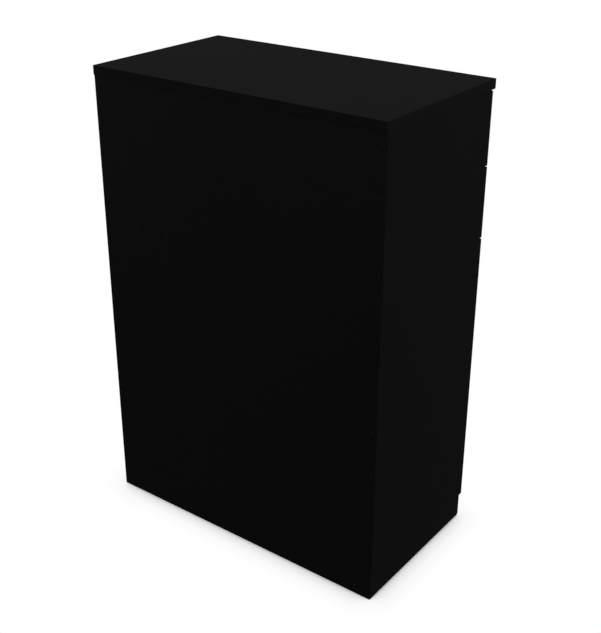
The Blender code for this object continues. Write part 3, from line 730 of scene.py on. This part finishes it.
def cross_cut(bm, reach, depth, top):
    """Mesh of a turned screw or cam with a cross recess in its top."""
    head = add_object("head", mesh_of(bm, "head"))
    arm = reach * CROSS_ARM_SHARE
    outline = []
    for quarter in range(4):
        turn = Matrix.Rotation(quarter * pi / 2, 2)
        for point in ((reach, -arm), (reach, arm), (arm, arm)):
            outline.append(tuple(turn @ Vector(point)))
    cross = extruded(outline, top - depth, top + depth, lambda a, b, c: (a, b, c))
    subtract(head, mesh_of(cross, "cross"), "INDEX")
    mesh = head.data
    bpy.data.objects.remove(head, do_unlink=True)
    return mesh


def dome_profile(radius, height):
    """Low dome on a short upright rim, for screw heads, nails and bumpers."""
    rim = DOME_RIM_SHARE * height
    points = [(0, 0), (radius, 0), (radius, rim)]
    for step in range(1, DOME_STEPS):
        angle = pi / 2 * step / DOME_STEPS
        points.append((radius * cos(angle), rim + (height - rim) * sin(angle)))
    points.append((0, height))
    return points


def screw_mesh(radius, height):
    """Head of a screw, with its cross recess."""
    reach = radius * CROSS_REACH_SHARE
    return cross_cut(turned(dome_profile(radius, height)), reach, height * CROSS_DEPTH_SHARE, height)


def cam_mesh():
    """Face of a cam: a flat disc with a raised rim, a hub and a cross recess."""
    profile = [(0, 0), (CAM_RADIUS, 0), (CAM_RADIUS, CAM_EDGE_HEIGHT),
               (CAM_RADIUS - CAM_RIM_WIDTH, CAM_HEIGHT), (CAM_RADIUS - CAM_DISH_INSET, CAM_DISH_HEIGHT),
               (CAM_HUB_RADIUS, CAM_DISH_HEIGHT), (CAM_HUB_TOP_RADIUS, CAM_HEIGHT), (0, CAM_HEIGHT)]
    return cross_cut(turned(profile, segments=36), CAM_CROSS_REACH, CAM_CROSS_DEPTH, CAM_HEIGHT)


DRAWER_SCREW = screw_mesh(*DRAWER_SCREW_SIZE)
HINGE_SCREW = screw_mesh(*HINGE_SCREW_SIZE)
HANDLE_SCREW = screw_mesh(*HANDLE_SCREW_SIZE)
SLIDE_SCREW = screw_mesh(*SLIDE_SCREW_SIZE)
CUP_SCREW = screw_mesh(*CUP_SCREW_SIZE)
CAM = cam_mesh()
NAIL = mesh_of(turned(dome_profile(*NAIL_SIZE), segments=16), "nail")
DRAWER_BUMPER = mesh_of(turned(dome_profile(*DRAWER_BUMPER_SIZE)), "drawer_bumper")
DOOR_BUMPER = mesh_of(turned(dome_profile(*DOOR_BUMPER_SIZE), segments=20), "door_bumper")


# ---------------------------------------------------------------- small fittings

def spaced(start, end, pitch):
    """Even places from start to end, about a pitch apart."""
    count = max(1, round((end - start) / pitch))
    return [start + (end - start) * step / count for step in range(count + 1)]


def add_back_nails():
    """Black nails down both edges of the back, and along the two fixed panels behind it."""
    low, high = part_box("back_panel")
    column = high.x - NAIL_EDGE_INSET
    matrices = []
    for z_place in spaced(low.z + NAIL_END_INSET, high.z - NAIL_END_INSET, NAIL_PITCH):
        for side in (-1, 1):
            matrices.append(facing((side * column, BACK_FACE, z_place), (0, 1, 0)))
    for node in ("bottom_panel", "middle_panel"):
        panel_low, panel_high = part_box(node)
        for x_place in spaced(-column + NAIL_ROW_INSET, column - NAIL_ROW_INSET, NAIL_PITCH):
            place = (x_place, BACK_FACE, (panel_low.z + panel_high.z) / 2)
            matrices.append(facing(place, (0, 1, 0)))
    scatter("back_nails", NAIL, matrices, NYLON, "carcass")


def add_carcass_cams():
    """Cam fittings on the undersides of the fixed panels, and at the top of the side panels."""
    matrices = []
    y_places = (CARCASS_FRONT + CAM_SETBACK, CARCASS_REAR - CAM_SETBACK)
    for node in ("bottom_panel", "middle_panel"):
        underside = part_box(node)[0].z
        for side in (-1, 1):
            for y_place in y_places:
                place = (side * (INNER_HALF_WIDTH - CAM_INSET), y_place, underside)
                matrices.append(facing(place, (0, 0, -1), CROSS_TURNS["panel_cam"] * side))
    for side in (-1, 1):
        for y_place in y_places:
            place = (side * INNER_HALF_WIDTH, y_place, TOP_LOW.z - CAM_INSET)
            matrices.append(facing(place, (-side, 0, 0), CROSS_TURNS["side_cam"]))
    scatter("carcass_cams", CAM, matrices, CAST_ZINC, "carcass")


def add_drawer_fittings():
    """Cams by each drawer front, handle screws behind it, and bumpers at its rear corners."""
    for drawer in DRAWERS:
        cams = []
        screws = []
        bumpers = []
        for side_name, side in SIDES.items():
            low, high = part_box(f"{drawer}_{side_name}_side")
            inner = low.x if side > 0 else high.x
            for height in DRAWER_CAM_HEIGHTS:
                place = (inner, low.y + CAM_INSET, low.z + height)
                cams.append(facing(place, (-side, 0, 0), CROSS_TURNS["drawer_cam"]))
        low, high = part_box(drawer + "_handle")
        front_low, front_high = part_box(drawer + "_front")
        for x_place in (low.x + HANDLE_BAR / 2, high.x - HANDLE_BAR / 2):
            place = (x_place, front_high.y, (low.z + high.z) / 2)
            screws.append(facing(place, (0, 1, 0), CROSS_TURNS["drawer_handle_screw"]))
        for side in (-1, 1):
            for z_place in (front_low.z + DRAWER_BUMPER_INSET, front_high.z - DRAWER_BUMPER_INSET):
                place = (side * (INNER_HALF_WIDTH + DRAWER_BUMPER_OVERLAP), front_high.y, z_place)
                bumpers.append(facing(place, (0, 1, 0)))
        scatter(drawer + "_cams", CAM, cams, CAST_ZINC, drawer)
        scatter(drawer + "_handle_screws", HANDLE_SCREW, screws, ZINC, drawer)
        scatter(drawer + "_bumpers", DRAWER_BUMPER, bumpers, BUMPER, drawer)


def add_door_fittings():
    """Handle screws and bumpers on the inner face of each door."""
    middle_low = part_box("middle_panel")[0].z
    bottom_low, bottom_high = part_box("bottom_panel")
    for side_name, side in SIDES.items():
        body = BODY_OF[side_name + "_door"]
        low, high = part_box(side_name + "_door_handle")
        inner_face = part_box(side_name + "_door")[1].y
        x_place = (low.x + high.x) / 2
        screws = [facing((x_place, inner_face, z), (0, 1, 0), CROSS_TURNS["door_handle_screw"])
                  for z in (low.z + HANDLE_BAR / 2, high.z - HANDLE_BAR / 2)]
        scatter(side_name + "_door_handle_screws", HANDLE_SCREW, screws, ZINC, body)
        bumpers = [facing((side * DOOR_BUMPER_ASIDE, inner_face, z), (0, 1, 0))
                   for z in (middle_low + DOOR_BUMPER_LIFT, (bottom_low.z + bottom_high.z) / 2)]
        scatter(side_name + "_door_bumpers", DOOR_BUMPER, bumpers, BUMPER, body)


def add_slide_screws():
    """Screws through the cabinet members and the drawer members of the slides."""
    for drawer in DRAWERS:
        for side_name, side in SIDES.items():
            low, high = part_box(f"{drawer}_{side_name}_cabinet_slide")
            web = side * (INNER_HALF_WIDTH - CABINET_SLIDE_WEB)
            centre_z = (low.z + high.z) / 2
            matrices = [facing((web, low.y + along, centre_z + CABINET_SCREW_LIFT), (-side, 0, 0),
                               CROSS_TURNS["slide_screw"]) for along in CABINET_SCREW_PLACES]
            scatter(f"{drawer}_{side_name}_slide_screws", SLIDE_SCREW, matrices, ZINC,
                    "carcass")
            low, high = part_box(f"{drawer}_{side_name}_drawer_slide")
            web = side * (min(abs(low.x), abs(high.x)) + DRAWER_SLIDE_WALL)
            matrices = [facing((web, low.y + along, centre_z), (side, 0, 0),
                               CROSS_TURNS["drawer_screw"]) for along in DRAWER_SCREW_PLACES]
            scatter(f"{drawer}_{side_name}_drawer_screws", DRAWER_SCREW, matrices, ZINC,
                    drawer)


def add_hinge_screws():
    """Two screws in each cup's wings, two in each plate and two adjusting screws on each arm."""
    for side_name, side in SIDES.items():
        for level in LEVELS:
            stem = f"{side_name}_{level}_hinge"
            low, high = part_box(stem + "_cup")
            centre = (low + high) / 2
            cup_screws = [facing((centre.x, high.y, centre.z + end * CUP_SCREW_REACH), (0, 1, 0),
                                 CROSS_TURNS["cup_screw"]) for end in (-1, 1)]
            scatter(stem + "_cup_screws", CUP_SCREW, cup_screws, NICKEL, BODY_OF[stem + "_cup"])
            low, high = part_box(stem + "_plate")
            centre_z = (low.z + high.z) / 2
            face = side * (INNER_HALF_WIDTH - PLATE_THICKNESS)
            y_place = CARCASS_FRONT + PLATE_SCREW_SETBACK
            plate_screws = [facing((face, y_place, centre_z + end * PLATE_SCREW_REACH), (-side, 0, 0),
                                   CROSS_TURNS["plate_screw"]) for end in (-1, 1)]
            low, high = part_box(stem + "_arm")
            web = side * (abs(low.x if side > 0 else high.x) + ARM_WEB_DEPTH)
            arm_screws = [facing((web, CARCASS_FRONT + setback, centre_z), (-side, 0, 0),
                                 CROSS_TURNS["arm_screw"]) for setback in ARM_SCREW_SETBACKS]
            scatter(stem + "_plate_screws", HINGE_SCREW, plate_screws, NICKEL, "carcass")
            scatter(stem + "_arm_screws", HINGE_SCREW, arm_screws, ZINC, "carcass")


def paint_cad_nodes():
    """Give every CAD node that stays its finished material."""
    for name, node in frame["nodes"].items():
        material = NODE_MATERIALS[SLOT_OF[name]]
        for slot in node.material_slots:
            slot.material = material


# ---------------------------------------------------------------- stage, light and camera

def add_world():
    """White to the camera; a dim studio to everything else."""
    world = bpy.data.worlds.new("studio")
    bpy.context.scene.world = world
    world.use_nodes = True
    tree = world.node_tree
    tree.nodes.clear()
    output = tree.nodes.new("ShaderNodeOutputWorld")
    mix = tree.nodes.new("ShaderNodeMixShader")
    path = tree.nodes.new("ShaderNodeLightPath")
    dim = tree.nodes.new("ShaderNodeBackground")
    white = tree.nodes.new("ShaderNodeBackground")
    dim.inputs["Color"].default_value = WORLD_COLOUR
    dim.inputs["Strength"].default_value = WORLD_STRENGTH
    white.inputs["Color"].default_value = WHITE
    tree.links.new(path.outputs["Is Camera Ray"], mix.inputs["Fac"])
    tree.links.new(dim.outputs["Background"], mix.inputs[1])
    tree.links.new(white.outputs["Background"], mix.inputs[2])
    tree.links.new(mix.outputs["Shader"], output.inputs["Surface"])


def floor_material():
    """White glow that darkens only where something stands close by: a painted contact shadow."""
    material = bpy.data.materials.new("floor_painted_contact_shadow")
    material.use_nodes = True
    tree = material.node_tree
    tree.nodes.clear()
    output = tree.nodes.new("ShaderNodeOutputMaterial")
    glow = tree.nodes.new("ShaderNodeEmission")
    ramp = tree.nodes.new("ShaderNodeValToRGB")
    openness = tree.nodes.new("ShaderNodeAmbientOcclusion")
    openness.samples = CONTACT_SHADOW_SAMPLES
    openness.inputs["Distance"].default_value = CONTACT_SHADOW_REACH
    for place, tone in CONTACT_SHADOW_TONES:
        ramp.color_ramp.elements.new(place).color = (tone, tone, tone, 1.0)
    tree.links.new(openness.outputs["AO"], ramp.inputs["Fac"])
    tree.links.new(ramp.outputs["Color"], glow.inputs["Color"])
    tree.links.new(glow.outputs["Emission"], output.inputs["Surface"])
    return material


def add_floor():
    """A wide floor that throws no light back onto what stands on it."""
    bm = bmesh.new()
    bmesh.ops.create_circle(bm, cap_ends=True, segments=96, radius=FLOOR_RADIUS)
    floor = add_object("floor", mesh_of(bm, "floor"))
    floor.data.materials.append(floor_material())
    floor.visible_diffuse = False
    floor.visible_glossy = False
    floor.visible_transmission = False


def add_sun(name, direction, strength, angle):
    """A sun that shines along a direction; its angle, in degrees, makes it soft."""
    light = bpy.data.lights.new(name, "SUN")
    light.energy = strength
    light.angle = radians(angle)
    lamp = add_object(name, light)
    lamp.rotation_euler = Vector(direction).to_track_quat("-Z", "Y").to_euler()
    return lamp


def add_softbox(name, place, size, power):
    """A soft box that looks at the middle of the cabinet."""
    light = bpy.data.lights.new(name, "AREA")
    light.shape = "RECTANGLE"
    light.size, light.size_y = size
    light.energy = power
    lamp = add_object(name, light)
    lamp.location = place
    aim = Vector(LIGHT_TARGET) - Vector(place)
    lamp.rotation_euler = aim.to_track_quat("-Z", "Y").to_euler()
    return lamp


def pieces_that(fits):
    """All mesh objects that pass a test."""
    return [item for item in bpy.data.objects if item.type == "MESH" and fits(item)]


def light_only(lamp, pieces):
    """Let a lamp reach only these pieces."""
    group = bpy.data.collections.new(lamp.name + "_receivers")
    for piece in pieces:
        group.objects.link(piece)
    lamp.light_linking.receiver_collection = group


def is_metal(item):
    return any(slot.material in (ZINC, NICKEL, CAST_ZINC) for slot in item.material_slots)


def takes_left_box(item):
    """False for the floor, and for boards whose left edge or face the left box would graze."""
    grazed = ["top_panel", "back_panel", "left_side_panel", "left_door", "right_door"]
    grazed += [drawer + "_front" for drawer in DRAWERS]
    return item.name != "floor" and item.name not in [node + "_finished" for node in grazed]


def add_lights():
    """Soft boxes round the cabinet.  The low ones leave the top to the overhead sun, and the wide
    suns put a shine on the metal fittings only."""
    add_sun("overhead", (0.0, 0.0, -1.0), OVERHEAD_STRENGTH, OVERHEAD_ANGLE)
    boxes = {name: add_softbox(name, **values) for name, values in SOFTBOXES.items()}
    light_only(boxes["front_left_box"], pieces_that(takes_left_box))
    metals = pieces_that(is_metal)
    for name, direction in METAL_SUNS.items():
        light_only(add_sun(name, direction, METAL_SUN_STRENGTH, METAL_SUN_ANGLE), metals)


def add_camera():
    """Camera behind the cabinet's left side, looking down at it."""
    height = TOP_HIGH.z
    base = Vector(((TOP_LOW.x + TOP_HIGH.x) / 2, (TOP_LOW.y + TOP_HIGH.y) / 2, 0))
    right = Vector((cos(VIEW_AZIMUTH), sin(VIEW_AZIMUTH), 0))
    back = Vector((sin(VIEW_AZIMUTH) * cos(VIEW_ELEVATION),
                   -cos(VIEW_AZIMUTH) * cos(VIEW_ELEVATION),
                   sin(VIEW_ELEVATION)))
    target = base + right * AIM_ASIDE * height + Vector((0, 0, AIM_HEIGHT * height))
    data = bpy.data.cameras.new("camera")
    data.sensor_width = SENSOR
    data.lens = FOCAL_LENGTH
    data.shift_x, data.shift_y = SHIFT
    camera = add_object("camera", data)
    camera.location = target + back * CAMERA_DISTANCE * height
    camera.rotation_euler = back.to_track_quat("Z", "Y").to_euler()
    bpy.context.scene.camera = camera
    bpy.context.scene.view_settings.view_transform = "Standard"


# ---------------------------------------------------------------- build

add_side_boards()
add_doors()
add_plain_boards()
add_drawer_fronts()
add_drawer_sides()
add_handles()
add_back_nails()
add_carcass_cams()
add_drawer_fittings()
add_door_fittings()
add_slide_screws()
add_hinge_screws()
paint_cad_nodes()
add_world()
add_floor()
add_lights()
add_camera()
